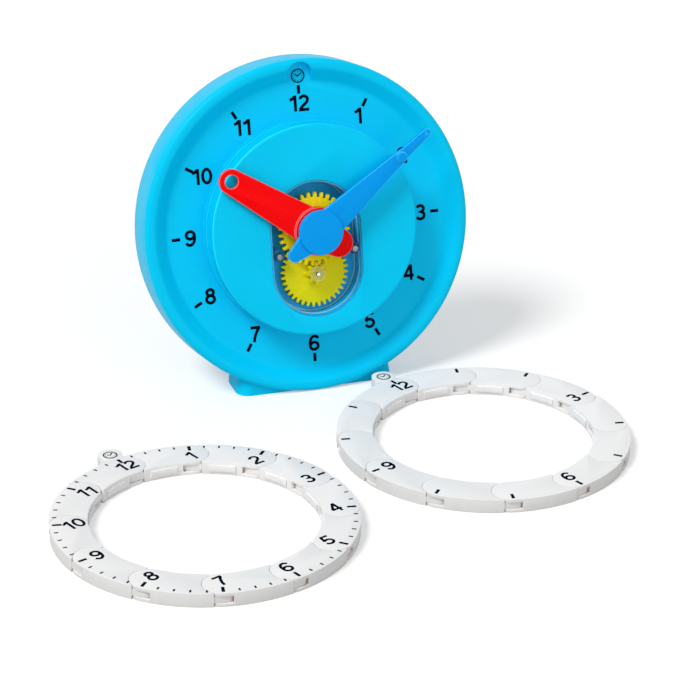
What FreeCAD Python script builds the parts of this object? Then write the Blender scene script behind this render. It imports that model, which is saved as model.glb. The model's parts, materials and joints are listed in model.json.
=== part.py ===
"""Geared teaching clock: a leaning dial case on a foot, a geared pair of hands behind a clear
window, and two dial rings of hinged segments that lie in front of it. Millimetres, +Z up.

The clock is drawn in a dial frame: X to the right, Y up the dial, Z out of it towards the
viewer, with its origin where the hands' axis meets the recess floor.
"""
import FreeCAD, Part
import math
import os
import Sketcher

doc = FreeCAD.newDocument("teaching_clock")
sheet = doc.addObject("Spreadsheet::Sheet", "dims")

SIZES = [
    ("lean_angle", 13.25),
    ("merge_depth", 1.0),
    ("foot_sink", 0.9),
    ("face_line_y", -45.0),
    ("case_depth", 33.0),
    ("case_wall", 2.5),
    ("rim_land", 9.0),
    ("rim_slope", 11.9),
    ("rim_height", 8.0),
    ("rim_edge_round", 4.5),
    ("recess_gap", 1.8),
    ("recess_cove", 7.0),
    ("raised_radius", 96.0),
    ("raised_edge_round", 2.0),
    ("collar_step", 1.2),
    ("collar_height", 10.2),
    ("groove_depth", 1.0),
    ("notch_rise", 6.6),
    ("notch_fill_angle", 13.0),
    ("opening_side", 2.2),
    ("opening_rise", 2.5),
    ("opening_drop", 4.3),
    ("window_drop", 0.3),
    ("window_gap", 0.3),
    ("window_bevel", 1.2),
    ("window_room", 1.6),
    ("window_screw_inset", 7.5),
    ("window_screw_drop", 0.6),
    ("window_boss_radius", 5.25),
    ("window_boss_length", 3.0),
    ("tray_ledge", 1.5),
    ("tray_wall", 2.0),
    ("tray_floor_back", 5.5),
    ("tray_floor_thick", 2.5),
    ("tray_ear_out", 6.0),
    ("tray_ear_y", 24.0),
    ("tray_ear_radius", 5.0),
    ("tray_ear_thick", 2.5),
    ("tray_post_length", 7.0),
    ("screw_radius", 1.5),
    ("screw_head_radius", 2.7),
    ("screw_head_thick", 1.8),
    ("screw_length", 8.0),
    ("post_radius", 4.5),
    ("case_post_inset", 7.6),
    ("case_post_count", 6),
    ("case_post_angle", 30.0),
    ("cover_gap", 0.3),
    ("foot_front", -0.3),
    ("foot_half_width", 74.5),
    ("foot_height", 20.0),
    ("foot_draft", 8.0),
    ("foot_corner", 12.0),
    ("heel_half_width", 64.0),
    ("heel_back", 84.0),
    ("heel_height", 16.0),
    ("heel_corner", 34.0),
    ("heel_edge_round", 5.0),
    ("idler_y", -40.8),
    ("minute_pinion_teeth", 12),
    ("idler_wheel_teeth", 36),
    ("idler_pinion_teeth", 8),
    ("hour_wheel_teeth", 32),
    ("minute_shift", 0.3),
    ("hour_shift", 0.5),
    ("tooth_slack", 0.28),
    ("pivot_play", 0.08),
    ("axle_radius", 2.5),
    ("axle_proud", 5.0),
    ("idler_axle_radius", 1.5),
    ("floor_boss_height", 1.7),
    ("floor_boss_radius", 6.0),
    ("gear_thick", 5.0),
    ("wheel_lift", 0.5),
    ("pinion_proud", 0.9),
    ("wheel_gap", 1.1),
    ("idler_nose", 0.9),
    ("idler_nose_radius", 4.2),
    ("hour_collar_radius", 12.0),
    ("thrust_gap", 0.3),
    ("arbor_radius", 5.0),
    ("tube_radius", 8.0),
    ("hand_clear", 0.6),
    ("hour_boss_height", 2.9),
    ("hour_boss_radius", 14.0),
    ("hour_hand_thick", 3.5),
    ("hour_hub_height", 6.5),
    ("hour_hub_radius", 22.0),
    ("hour_tip_radius", 11.4),
    ("hour_tip_inset", 2.3),
    ("hour_hole_radius", 6.1),
    ("hour_root_half", 17.6),
    ("hour_tail_radius", 13.0),
    ("hour_tail_centre", 23.2),
    ("hour_hand_angle", 145.6),
    ("hand_gap", 0.4),
    ("minute_hand_thick", 4.0),
    ("minute_hub_radius", 19.8),
    ("minute_root_half", 14.6),
    ("minute_peg_past", 4.0),
    ("minute_peg_half", 5.6),
    ("minute_peg_radius", 4.6),
    ("minute_peg_height", 3.5),
    ("minute_neck_half", 4.7),
    ("minute_tip_radius", 3.7),
    ("minute_tip_past", 2.2),
    ("minute_hole_radius", 1.7),
    ("minute_tail_radius", 6.4),
    ("minute_tail_centre", 31.0),
    ("minute_hand_angle", 37.0),
    ("cap_radius", 20.4),
    ("cap_thick", 3.6),
    ("cap_edge_round", 1.4),
    ("hand_screw_radius", 1.5),
    ("hand_screw_head", 7.0),
    ("hand_screw_thick", 1.6),
    ("hand_screw_length", 6.5),
    ("ring_band", 32.0),
    ("ring_thick", 12.4),
    ("seat_gap", 0.6),
    ("hinge_leaf", 3.0),
    ("hinge_play", 0.2),
    ("tongue_root", 2.0),
    ("joint_gap", 0.3),
    ("horn_start", 8.2),
    ("eye_radius", 14.6),
    ("tongue_half", 14.6),
    ("slot_back", 8.0),
    ("hinge_pin_radius", 3.0),
    ("mouth_flare", 1.5),
    ("clip_angle", 14.0),
    ("clip_height", 5.6),
    ("clip_proud", 1.3),
    ("tab_radius", 11.0),
    ("tab_gap", 0.8),
    ("tab_neck_half", 7.5),
    ("ring_turn", 20.75),
    ("minute_ring_side", 41.5),
    ("minute_ring_ahead", 99.8),
    ("hour_ring_side", 23.2),
    ("hour_ring_ahead", 19.8),
]

for row, (name, number) in enumerate(SIZES, start=1):
    sheet.set("A%d" % row, name)
    sheet.set("B%d" % row, str(number))
    sheet.setAlias("B%d" % row, name)
doc.recompute()


def size(name):
    """One number of the spreadsheet."""
    return float(sheet.get(name))


def value(formula):
    """What a formula comes to with the spreadsheet's numbers."""
    return float(sheet.evalExpression(formula))


# Tolerance for finding an edge by its place, and the usual proportions of gear teeth.
NEAR = 0.01
PRESSURE_ANGLE = 20
DEDENDUM = 1.25
SHARPEST_TIP = 0.0005
FLANK_STEPS = 6

# Formulas that several pieces share. Each is text that drives a property through the sheet.
# Outwards from the raised disc: the ring seated round its collar, the recess, the rim and the case.
COLLAR_RADIUS = "(dims.raised_radius + dims.collar_step)"
RING_INNER = "(%s + dims.seat_gap)" % COLLAR_RADIUS
RING_OUTER = "(%s + dims.ring_band)" % RING_INNER
RECESS_RADIUS = "(%s + dims.recess_gap)" % RING_OUTER
CREST_RADIUS = "(%s + dims.rim_slope)" % RECESS_RADIUS
CASE_RADIUS = "(%s + dims.rim_land)" % CREST_RADIUS
POST_CIRCLE = "(%s - dims.case_post_inset)" % RECESS_RADIUS
NOTCH_CENTRE = "(%s + dims.notch_rise)" % RECESS_RADIUS
NOTCH_RADIUS = "(dims.tab_radius + dims.tab_gap)"
DIAL_HEIGHT = "(%s - dims.foot_sink)" % CASE_RADIUS

# Forwards from the tray's floor: pinion, idler, hour wheel, window, raised disc and hands.
TRAY_FLOOR = "(dims.tray_floor_back + dims.tray_floor_thick)"
GEARS_BACK = "(%s + dims.floor_boss_height + dims.thrust_gap)" % TRAY_FLOOR
IDLER_WHEEL_BACK = "(%s + dims.wheel_lift)" % GEARS_BACK
IDLER_WHEEL_FRONT = "(%s + dims.gear_thick)" % IDLER_WHEEL_BACK
MINUTE_PINION_FRONT = "(%s + dims.pinion_proud)" % IDLER_WHEEL_FRONT
HOUR_WHEEL_BACK = "(%s + dims.wheel_gap)" % MINUTE_PINION_FRONT
HOUR_WHEEL_FRONT = "(%s + dims.gear_thick)" % HOUR_WHEEL_BACK
IDLER_PINION_FRONT = "(%s + dims.wheel_lift)" % HOUR_WHEEL_FRONT
IDLER_NOSE_FRONT = "(%s + dims.idler_nose)" % IDLER_PINION_FRONT
PLATE_BACK = "(%s + dims.window_room)" % IDLER_NOSE_FRONT
RAISED_HEIGHT = "(%s + dims.case_wall)" % PLATE_BACK
WINDOW_FRONT = "(%s - dims.window_drop)" % RAISED_HEIGHT
TRAY_EAR_BACK = "(%s - dims.tray_post_length - dims.tray_ear_thick)" % PLATE_BACK
AXLE_FRONT = "(%s + dims.axle_proud)" % RAISED_HEIGHT
HOUR_BOSS_BACK = "(%s + dims.hand_clear)" % RAISED_HEIGHT
HOUR_HAND_BACK = "(%s + dims.hour_boss_height)" % HOUR_BOSS_BACK
HOUR_HUB_FRONT = "(%s + dims.hour_hub_height)" % HOUR_HAND_BACK
MINUTE_BACK = "(%s + dims.hand_gap)" % HOUR_HUB_FRONT
MINUTE_FRONT = "(%s + dims.minute_hand_thick)" % MINUTE_BACK

# Round the gears: the opening, the window in it, the tray behind it and their screws.
OPENING_HALF = "(dims.opening_side - dims.idler_y)"
OPENING_TOP = "dims.opening_rise"
OPENING_BOTTOM = "(dims.idler_y + dims.opening_drop)"
OPENING_CENTRE = "((%s + %s) / 2)" % (OPENING_TOP, OPENING_BOTTOM)
TRAY_HALF = "(%s - dims.tray_ledge)" % OPENING_HALF
TRAY_EAR_X = "(%s + dims.tray_ear_out)" % OPENING_HALF
WINDOW_SCREW_X = "(%s - dims.window_screw_inset)" % OPENING_HALF
WINDOW_SCREW_Y = "(dims.idler_y / 2 - dims.window_screw_drop)"

# Along the hands, and the case's depth and foot.
HOUR_TIP_CENTRE = "(dims.raised_radius - dims.hour_tip_inset)"
MINUTE_PEG_CENTRE = "(dims.raised_radius + dims.minute_peg_past)"
MINUTE_TIP_CENTRE = "(%s + dims.minute_tip_past)" % RING_OUTER
CASE_BACK = "-dims.case_depth"
COVER_FRONT = "(-dims.case_depth + dims.case_wall)"
COVER_RADIUS = "(%s - dims.case_wall - dims.cover_gap)" % CASE_RADIUS
FOOT_FRONT = "(dims.face_line_y + dims.foot_front)"


def plane_of(body, role):
    """One of a body's own origin planes."""
    for feature in body.Origin.OriginFeatures:
        if feature.Role == role:
            return feature
    raise RuntimeError("no plane " + role)


def new_body(label, dial=True, turn=None):
    """A body placed in the dial frame, turned about the hands' axis by a formula if given."""
    body = doc.addObject("PartDesign::Body", label)
    body.Label = label
    if dial:
        body.Placement = dial_placement(0.0 if turn is None else size(turn))
    return body


def dial_placement(turn=0.0):
    """The dial frame in the row frame, turned about the hands' axis by some degrees."""
    lean = math.radians(size("lean_angle"))
    height = value(DIAL_HEIGHT)
    centre = FreeCAD.Vector(0, size("face_line_y") + height * math.sin(lean), height * math.cos(lean))
    tilt = FreeCAD.Rotation(FreeCAD.Vector(1, 0, 0), 90 - size("lean_angle"))
    spin = FreeCAD.Rotation(FreeCAD.Vector(0, 0, 1), turn)
    return FreeCAD.Placement(centre, tilt.multiply(spin))


def new_sketch(body, name, role="XY_Plane", lift=None):
    """A sketch on one of the body's origin planes, lifted off it by a formula."""
    sketch = body.newObject("Sketcher::SketchObject", name)
    sketch.AttachmentSupport = [(plane_of(body, role), "")]
    sketch.MapMode = "FlatFace"
    if lift is not None:
        sketch.setExpression("AttachmentOffset.Base.z", lift)
    return sketch


def pin_point(sketch, geometry, end, x_formula, y_formula):
    """Hold one point of a sketch at two formulas, measured from its origin."""
    for kind, formula in (("DistanceX", x_formula), ("DistanceY", y_formula)):
        number = float(sketch.evalExpression(formula))
        index = sketch.addConstraint(Sketcher.Constraint(kind, -1, 1, geometry, end, number))
        sketch.setExpression("Constraints[%d]" % index, formula)


def polygon(sketch, corners):
    """A closed outline of straight lines through corners given as pairs of formulas."""
    points = []
    for x_formula, y_formula in corners:
        x_value = float(sketch.evalExpression(x_formula))
        y_value = float(sketch.evalExpression(y_formula))
        points.append(FreeCAD.Vector(x_value, y_value, 0))
    count = len(points)
    first = sketch.GeometryCount
    for index in range(count):
        sketch.addGeometry(Part.LineSegment(points[index], points[(index + 1) % count]), False)
    for index in range(count):
        follower = first + (index + 1) % count
        sketch.addConstraint(Sketcher.Constraint("Coincident", first + index, 2, follower, 1))
    for index, (x_formula, y_formula) in enumerate(corners):
        pin_point(sketch, first + index, 1, x_formula, y_formula)
    return sketch


def circle(sketch, radius, x_formula="0", y_formula="0"):
    """A circle of a radius formula, with its centre at two formulas."""
    radius_value = float(sketch.evalExpression(radius))
    x_value = float(sketch.evalExpression(x_formula))
    y_value = float(sketch.evalExpression(y_formula))
    centre = FreeCAD.Vector(x_value, y_value, 0)
    index = sketch.addGeometry(Part.Circle(centre, FreeCAD.Vector(0, 0, 1), radius_value), False)
    constraint = sketch.addConstraint(Sketcher.Constraint("Radius", index, radius_value))
    sketch.setExpression("Constraints[%d]" % constraint, radius)
    pin_point(sketch, index, 3, x_formula, y_formula)
    return sketch


def stadium(sketch, half_width, top, bottom):
    """Two straight sides joined by half circles whose centres are at the top and bottom."""
    half = float(sketch.evalExpression(half_width))
    high = float(sketch.evalExpression(top))
    low = float(sketch.evalExpression(bottom))
    axis = FreeCAD.Vector(0, 0, 1)
    upper = Part.Circle(FreeCAD.Vector(0, high, 0), axis, half)
    lower = Part.Circle(FreeCAD.Vector(0, low, 0), axis, half)
    arc_up = sketch.addGeometry(Part.ArcOfCircle(upper, 0, math.pi), False)
    arc_down = sketch.addGeometry(Part.ArcOfCircle(lower, math.pi, 2 * math.pi), False)
    left = sketch.addGeometry(
        Part.LineSegment(FreeCAD.Vector(-half, high, 0), FreeCAD.Vector(-half, low, 0)), False)
    right = sketch.addGeometry(
        Part.LineSegment(FreeCAD.Vector(half, low, 0), FreeCAD.Vector(half, high, 0)), False)
    for one, one_end, two, two_end in (
            (arc_up, 2, left, 1), (left, 2, arc_down, 1),
            (arc_down, 2, right, 1), (right, 2, arc_up, 1)):
        sketch.addConstraint(Sketcher.Constraint("Tangent", one, one_end, two, two_end))
    index = sketch.addConstraint(Sketcher.Constraint("Radius", arc_up, half))
    sketch.setExpression("Constraints[%d]" % index, half_width)
    pin_point(sketch, arc_up, 3, "0", top)
    pin_point(sketch, arc_down, 3, "0", bottom)
    return sketch


def pad(body, sketch, length, down=False):
    """Push a sketch out of its plane, or into it."""
    feature = body.newObject("PartDesign::Pad", sketch.Name + "_pad")
    feature.Profile = sketch
    feature.setExpression("Length", length)
    feature.Reversed = down
    return feature


def pocket(body, sketch, length, up=False):
    """Cut a sketch's outline below its plane, or above it."""
    feature = body.newObject("PartDesign::Pocket", sketch.Name + "_pocket")
    feature.Profile = sketch
    feature.setExpression("Length", length)
    feature.Reversed = up
    return feature


def turned(body, name, corners, role="XZ_Plane", angle=None):
    """A ring or disc turned about the dial's axis from corners given as (radius, front).

    With an angle it is a part of a ring, which spans that angle evenly about its plane.
    """
    sketch = polygon(new_sketch(body, name, role), corners)
    feature = body.newObject("PartDesign::Revolution", name + "_turned")
    feature.Profile = sketch
    feature.ReferenceAxis = (sketch, ["V_Axis"])
    feature.Angle = 360.0
    if angle is not None:
        feature.setExpression("Angle", angle)
        feature.Midplane = True
    return feature


def edges_where(body, wanted):
    """Every edge of the body's tip whose sample points all satisfy the test."""
    doc.recompute()
    names = []
    for index, edge in enumerate(body.Tip.Shape.Edges, start=1):
        if all(wanted(point) for point in edge.discretize(5)):
            names.append("Edge%d" % index)
    return body.Tip, names


def round_edges(body, name, radius, wanted):
    """Round every edge of the body's tip whose sample points all satisfy the test."""
    edges = edges_where(body, wanted)
    feature = body.newObject("PartDesign::Fillet", name)
    feature.Base = edges
    feature.setExpression("Radius", radius)
    return feature


def at_radius(radius, front):
    """A test for points on one circle round the dial's axis."""
    def wanted(point):
        near_radius = abs(math.hypot(point.x, point.y) - radius) < NEAR
        return near_radius and abs(point.z - front) < NEAR
    return wanted


def boolean(kind, label, *shapes):
    """A Part boolean: the first shape cut by, joined to or kept within the others."""
    feature = doc.addObject("Part::" + kind, label)
    if kind == "MultiFuse":
        feature.Shapes = list(shapes)
    else:
        feature.Base, feature.Tool = shapes
    feature.Label = label
    return feature


def block(label, corner, lengths, placement=None):
    """A box from its lowest corner, used to trim castings."""
    box = doc.addObject("Part::Box", label)
    box.Length, box.Width, box.Height = lengths
    base = FreeCAD.Placement(FreeCAD.Vector(*corner), FreeCAD.Rotation())
    box.Placement = base if placement is None else placement.multiply(base)
    return box


# Trimming blocks: all below the table, all behind the case, and all in front of its back.
REACH = 2.5 * value(CASE_RADIUS)
FOOT_ROOM = size("case_wall") + size("cover_gap")
below_table = block("below_table", (-REACH, -REACH, -REACH), (2 * REACH, 2 * REACH, REACH))
below_cover = block("below_cover", (-REACH, -REACH, -REACH), (2 * REACH, 2 * REACH, REACH + FOOT_ROOM))
behind_case = block("behind_case", (-REACH, -REACH, -REACH - size("case_depth")),
                    (2 * REACH, 2 * REACH, REACH), dial_placement())


def front_case():
    """Dial moulding: raised centre, ring recess, rim, side wall and the front of the foot."""
    body = new_body("dial_shell")
    inner_rim = "dims.rim_height - dims.case_wall"
    inner_wall = CASE_RADIUS + " - dims.case_wall"
    inner_raised = "dims.raised_radius - dims.case_wall"
    groove_low = "(dims.ring_thick - dims.clip_height) / 2 - dims.hinge_play"
    groove_high = "(dims.ring_thick + dims.clip_height) / 2 + dims.hinge_play"
    groove_radius = COLLAR_RADIUS + " - dims.groove_depth"
    turned(body, "shell", [
        ("0", RAISED_HEIGHT),
        ("dims.raised_radius", RAISED_HEIGHT),
        ("dims.raised_radius", "dims.collar_height"),
        (COLLAR_RADIUS, "dims.collar_height"),
        (COLLAR_RADIUS, groove_high),
        (groove_radius, groove_high),
        (groove_radius, groove_low),
        (COLLAR_RADIUS, groove_low),
        (COLLAR_RADIUS, "0"),
        (RECESS_RADIUS, "0"),
        (CREST_RADIUS, "dims.rim_height"),
        (CASE_RADIUS, "dims.rim_height"),
        (CASE_RADIUS, CASE_BACK),
        (inner_wall, CASE_BACK),
        (inner_wall, inner_rim),
        (CREST_RADIUS + " + dims.case_wall / 2", inner_rim),
        (RECESS_RADIUS + " + dims.case_wall / 2", "-dims.case_wall"),
        (inner_raised, "-dims.case_wall"),
        (inner_raised, PLATE_BACK),
        ("0", PLATE_BACK),
    ])
    round_edges(body, "rim_edge", "dims.rim_edge_round",
                at_radius(value(CASE_RADIUS), size("rim_height")))
    round_edges(body, "recess_edge", "dims.recess_cove", at_radius(value(RECESS_RADIUS), 0.0))
    round_edges(body, "crest_edge", "dims.recess_cove",
                at_radius(value(CREST_RADIUS), size("rim_height")))
    round_edges(body, "raised_edge", "dims.raised_edge_round",
                at_radius(size("raised_radius"), value(RAISED_HEIGHT)))
    notch_fill(body)
    opening = stadium(new_sketch(body, "window_opening", lift=PLATE_BACK),
                      OPENING_HALF, OPENING_TOP, OPENING_BOTTOM)
    pocket(body, opening, "dims.case_wall + dims.merge_depth", up=True)
    for side, x_sign in (("left", "-"), ("right", "")):
        for level, y_formula in ear_rows().items():
            name = "tray_post_%s_%s" % (side, level)
            post = circle(new_sketch(body, name, lift=PLATE_BACK), "dims.post_radius",
                          x_sign + TRAY_EAR_X, y_formula)
            pad(body, post, "dims.tray_post_length", down=True)
            hole = circle(new_sketch(body, name + "_hole", lift=TRAY_EAR_BACK),
                          "dims.screw_radius", x_sign + TRAY_EAR_X, y_formula)
            pocket(body, hole, "dims.screw_length", up=True)
    for index in range(int(size("case_post_count"))):
        x_formula, y_formula = case_post_place(index)
        post = circle(new_sketch(body, "case_post_%d" % index, lift="-dims.case_wall"),
                      "dims.post_radius", x_formula, y_formula)
        pad(body, post, "dims.case_depth - 2 * dims.case_wall", down=True)
        hole = circle(new_sketch(body, "case_post_hole_%d" % index, lift=COVER_FRONT),
                      "dims.screw_radius", x_formula, y_formula)
        pocket(body, hole, "dims.screw_length", up=True)
    back = "dims.face_line_y + dims.case_depth + dims.foot_height"
    foot = foot_block("foot_front_block", FOOT_FRONT, back,
                      "dims.foot_half_width", "dims.foot_height", "dims.foot_corner")
    hollow = foot_hollow("foot_front_hollow", FOOT_FRONT + " + dims.case_wall", back,
                         "dims.foot_half_width", "dims.foot_height", "dims.foot_corner")
    foot = boolean("Cut", "foot_front_walls", foot, hollow)
    foot = boolean("Cut", "foot_front_trimmed", foot, behind_case)
    foot = boolean("Cut", "foot_front_clear", foot, drum_room())
    whole = boolean("MultiFuse", "dial_and_foot", body, foot)
    return boolean("Cut", "front_case", whole, below_table)


def drum_room():
    """The room inside the drum's wall, above the foot's bottom, that the foot stays out of."""
    room = new_body("drum_inside")
    disc = circle(new_sketch(room, "drum_disc", lift=CASE_BACK), CASE_RADIUS + " - dims.case_wall")
    pad(room, disc, "dims.case_depth + " + RAISED_HEIGHT)
    return boolean("Cut", "drum_room", room, below_cover)


def ear_rows():
    """The heights of the two rows of screws that hold the gear tray."""
    return {"upper": OPENING_CENTRE + " + dims.tray_ear_y",
            "lower": OPENING_CENTRE + " - dims.tray_ear_y"}


def case_post_place(index):
    """The centre of one of the screw posts round the case."""
    angle = "(dims.case_post_angle + %d * 360 / dims.case_post_count)" % index
    return ("%s * cos(%s * 1deg)" % (POST_CIRCLE, angle),
            "%s * sin(%s * 1deg)" % (POST_CIRCLE, angle))


def notch_fill(body):
    """A solid stretch of the rim at twelve o'clock, with the notch for a ring's tab in it."""
    turned(body, "notch_fill", [
        (RECESS_RADIUS + " + dims.case_wall / 2", "-dims.case_wall"),
        (CREST_RADIUS + " + dims.case_wall / 2", "dims.rim_height - dims.case_wall"),
        (CASE_RADIUS + " - dims.case_wall", "dims.rim_height - dims.case_wall"),
        (CASE_RADIUS + " - dims.case_wall", "-dims.case_wall"),
    ], "YZ_Plane", "dims.notch_fill_angle")
    head = circle(new_sketch(body, "notch_head"), NOTCH_RADIUS, "0", NOTCH_CENTRE)
    pocket(body, head, "dims.rim_height + dims.merge_depth", up=True)
    neck = polygon(new_sketch(body, "notch_neck"), [
        ("-" + NOTCH_RADIUS, RECESS_RADIUS + " - dims.merge_depth"),
        (NOTCH_RADIUS, RECESS_RADIUS + " - dims.merge_depth"),
        (NOTCH_RADIUS, NOTCH_CENTRE),
        ("-" + NOTCH_RADIUS, NOTCH_CENTRE),
    ])
    pocket(body, neck, "dims.rim_height + dims.merge_depth", up=True)


def foot_block(label, front, back, half_width, height, corner, back_corners=False, lift=None):
    """A drafted block on the table or lifted off it, with its front or its back corners rounded."""
    body = new_body(label, dial=False)
    sketch = polygon(new_sketch(body, label + "_plan", lift=lift), [
        ("-(%s)" % half_width, front),
        (half_width, front),
        (half_width, back),
        ("-(%s)" % half_width, back),
    ])
    feature = pad(body, sketch, height)
    feature.setExpression("TaperAngle", "-dims.foot_draft")
    round_standing_edges(body, label + "_corners", corner, back_corners)
    return body


def foot_hollow(label, front, back, half_width, height, corner, back_corners=False):
    """The room inside a foot block: its plan drawn in by the wall, above its bottom."""
    return foot_block(label, front, back, half_width + " - dims.case_wall", height,
                      corner + " - dims.case_wall", back_corners, "dims.case_wall")


def round_standing_edges(body, name, radius, at_back):
    """Round the two edges that run up from the table at a block's front, or at its back."""
    doc.recompute()
    tip = body.Tip
    middle_y = tip.Shape.BoundBox.Center.y
    names = []
    for index, edge in enumerate(tip.Shape.Edges, start=1):
        ends = [vertex.Z for vertex in edge.Vertexes]
        behind = edge.CenterOfMass.y > middle_y
        if abs(ends[0] - ends[-1]) > NEAR and behind == at_back:
            names.append("Edge%d" % index)
    feature = body.newObject("PartDesign::Fillet", name)
    feature.Base = (tip, names)
    feature.setExpression("Radius", radius)
    return feature


def rear_cover():
    """Back plate inside the side wall, with the heel of the foot behind it."""
    body = new_body("back_plate")
    turned(body, "plate", [
        ("0", COVER_FRONT),
        (COVER_RADIUS, COVER_FRONT),
        (COVER_RADIUS, CASE_BACK),
        ("0", CASE_BACK),
    ])
    for index in range(int(size("case_post_count"))):
        x_formula, y_formula = case_post_place(index)
        hole = circle(new_sketch(body, "cover_hole_%d" % index, lift=CASE_BACK),
                      "dims.screw_radius + dims.pivot_play", x_formula, y_formula)
        pocket(body, hole, "dims.case_wall", up=True)
    plate = boolean("Cut", "back_plate_trimmed", body, below_cover)
    heel_back = "dims.face_line_y + dims.heel_back"
    heel = foot_block("heel_block", FOOT_FRONT, heel_back,
                      "dims.heel_half_width", "dims.heel_height", "dims.heel_corner", back_corners=True)
    round_edges(heel, "heel_top_edge", "dims.heel_edge_round",
                lambda point: abs(point.z - size("heel_height")) < NEAR)
    heel = boolean("Common", "heel_trimmed", heel, behind_case)
    whole = boolean("MultiFuse", "plate_and_heel", plate, heel)
    hollow = foot_hollow("heel_hollow", FOOT_FRONT, heel_back + " - dims.case_wall", "dims.heel_half_width",
                         "dims.heel_height - 2 * dims.case_wall", "dims.heel_corner", True)
    return boolean("Cut", "rear_cover", whole, hollow)


def gear_tray():
    """Cup behind the window that carries both axles and the window's screw posts."""
    body = new_body("gear_tray")
    outside = stadium(new_sketch(body, "tray_outside", lift="dims.tray_floor_back"),
                      TRAY_HALF + " + dims.tray_wall", OPENING_TOP, OPENING_BOTTOM)
    pad(body, outside, PLATE_BACK + " - dims.tray_floor_back")
    inside = stadium(new_sketch(body, "tray_inside", lift=TRAY_FLOOR),
                     TRAY_HALF, OPENING_TOP, OPENING_BOTTOM)
    pocket(body, inside, PLATE_BACK + " - " + TRAY_FLOOR, up=True)
    for side, x_sign in (("left", "-"), ("right", "")):
        for level, y_formula in ear_rows().items():
            name = "tray_ear_%s_%s" % (side, level)
            inner_x = TRAY_HALF + " + dims.tray_wall / 2"
            ear = polygon(new_sketch(body, name + "_web", lift=TRAY_EAR_BACK), [
                (x_sign + "(" + inner_x + ")", y_formula + " - dims.tray_ear_radius"),
                (x_sign + TRAY_EAR_X, y_formula + " - dims.tray_ear_radius"),
                (x_sign + TRAY_EAR_X, y_formula + " + dims.tray_ear_radius"),
                (x_sign + "(" + inner_x + ")", y_formula + " + dims.tray_ear_radius"),
            ])
            pad(body, ear, "dims.tray_ear_thick")
            disc = circle(new_sketch(body, name + "_disc", lift=TRAY_EAR_BACK),
                          "dims.tray_ear_radius", x_sign + TRAY_EAR_X, y_formula)
            pad(body, disc, "dims.tray_ear_thick")
            hole = circle(new_sketch(body, name + "_hole", lift=TRAY_EAR_BACK),
                          "dims.screw_radius + dims.pivot_play", x_sign + TRAY_EAR_X, y_formula)
            pocket(body, hole, "dims.tray_ear_thick", up=True)
        boss_back = PLATE_BACK + " - dims.window_boss_length"
        post = circle(new_sketch(body, "window_post_" + side, lift=TRAY_FLOOR),
                      "dims.window_boss_radius", x_sign + WINDOW_SCREW_X, WINDOW_SCREW_Y)
        pad(body, post, boss_back + " - " + TRAY_FLOOR)
        hole = circle(new_sketch(body, "window_post_hole_" + side, lift=boss_back),
                      "dims.screw_radius", x_sign + WINDOW_SCREW_X, WINDOW_SCREW_Y)
        pocket(body, hole, "dims.screw_length")
    for name, y_formula, bore in (("centre", "0", "dims.axle_radius"),
                                  ("idler", "dims.idler_y", "dims.idler_axle_radius")):
        boss = circle(new_sketch(body, name + "_boss", lift=TRAY_FLOOR),
                      "dims.floor_boss_radius", "0", y_formula)
        pad(body, boss, "dims.floor_boss_height")
        hole = circle(new_sketch(body, name + "_seat", lift="dims.tray_floor_back"), bore,
                      "0", y_formula)
        pocket(body, hole, "dims.tray_floor_thick + dims.floor_boss_height", up=True)
    return body


def gear_window():
    """Clear cover of the gears, with bosses for its two screws and for the idler axle."""
    body = new_body("gear_window")
    plate = stadium(new_sketch(body, "window_plate", lift=PLATE_BACK),
                    OPENING_HALF + " - dims.window_gap", OPENING_TOP, OPENING_BOTTOM)
    thickness = WINDOW_FRONT + " - " + PLATE_BACK
    pad(body, plate, thickness)
    front = value(WINDOW_FRONT)
    edges = edges_where(body, lambda point: abs(point.z - front) < NEAR)
    bevel = body.newObject("PartDesign::Chamfer", "window_edge")
    bevel.Base = edges
    bevel.setExpression("Size", "dims.window_bevel")
    for side, x_sign in (("left", "-"), ("right", "")):
        boss = circle(new_sketch(body, "window_boss_" + side, lift=PLATE_BACK),
                      "dims.window_boss_radius", x_sign + WINDOW_SCREW_X, WINDOW_SCREW_Y)
        pad(body, boss, "dims.window_boss_length", down=True)
        hole = circle(new_sketch(body, "window_hole_" + side, lift=WINDOW_FRONT),
                      "dims.screw_radius + dims.pivot_play", x_sign + WINDOW_SCREW_X, WINDOW_SCREW_Y)
        pocket(body, hole, thickness + " + dims.window_boss_length")
    bearing = circle(new_sketch(body, "idler_bearing", lift=PLATE_BACK),
                     "dims.floor_boss_radius", "0", "dims.idler_y")
    pad(body, bearing, "dims.window_room - dims.thrust_gap", down=True)
    for name, y_formula, bore in (
            ("tube_hole", "0", "dims.tube_radius + dims.pivot_play"),
            ("idler_hole", "dims.idler_y", "dims.idler_axle_radius")):
        hole = circle(new_sketch(body, name, lift=WINDOW_FRONT), bore, "0", y_formula)
        pocket(body, hole, thickness + " + dims.window_room")
    return body


def screw_corners(head_back, outward):
    """Profile of a pan-head screw whose head sits at a formula and faces out or back."""
    sign = "+" if outward else "-"
    return [
        ("0", "%s %s dims.screw_head_thick" % (head_back, sign)),
        ("dims.screw_head_radius", "%s %s dims.screw_head_thick" % (head_back, sign)),
        ("dims.screw_head_radius", head_back),
        ("dims.screw_radius", head_back),
        ("dims.screw_radius", "%s %s dims.screw_length" % (head_back, "-" if outward else "+")),
        ("0", "%s %s dims.screw_length" % (head_back, "-" if outward else "+")),
    ]


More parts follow.
